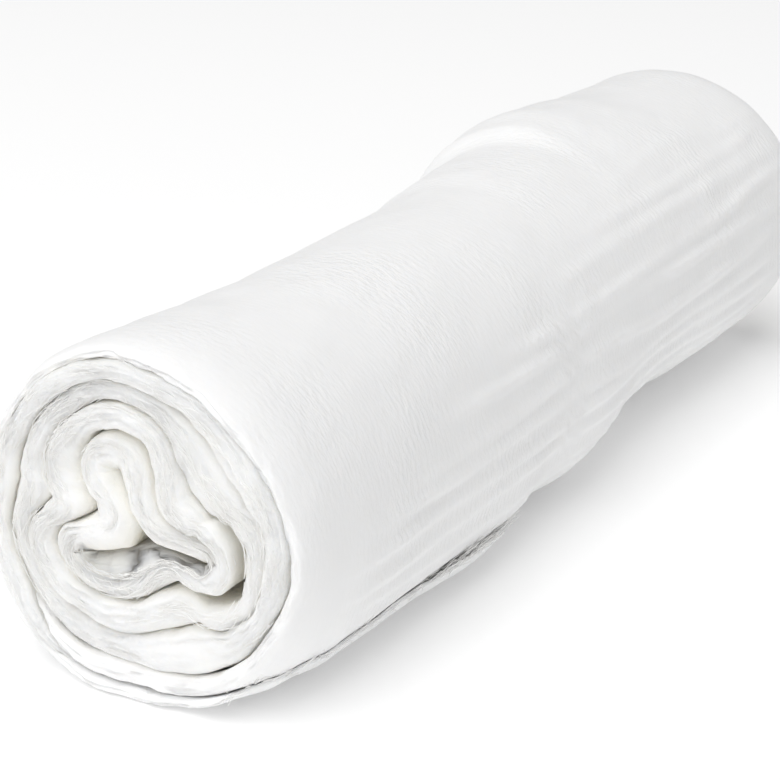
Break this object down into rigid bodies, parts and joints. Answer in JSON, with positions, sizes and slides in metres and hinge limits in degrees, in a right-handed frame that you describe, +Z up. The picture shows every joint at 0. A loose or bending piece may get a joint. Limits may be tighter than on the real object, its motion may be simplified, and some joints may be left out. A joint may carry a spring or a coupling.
{
  "type": "gauze bandage roll",
  "caption": "Soft white gauze bandage wound into a roll with a crumpled hollow core, spiral turns at both ends and a loose end along its foot.",
  "frame": {"origin": "middle of the roll's footprint, on the surface it lies on", "axes": "+X along the roll, from the end with the loose end's corner to the other end; +Z up"},
  "size_m": [0.1014, 0.032, 0.031],
  "materials": {
    "gauze": "matt crinkled open-weave cotton"
  },
  "bodies": {
    "root": {"gauze_roll": "gauze", "loose_end": "gauze"}
  },
  "joints": []
}
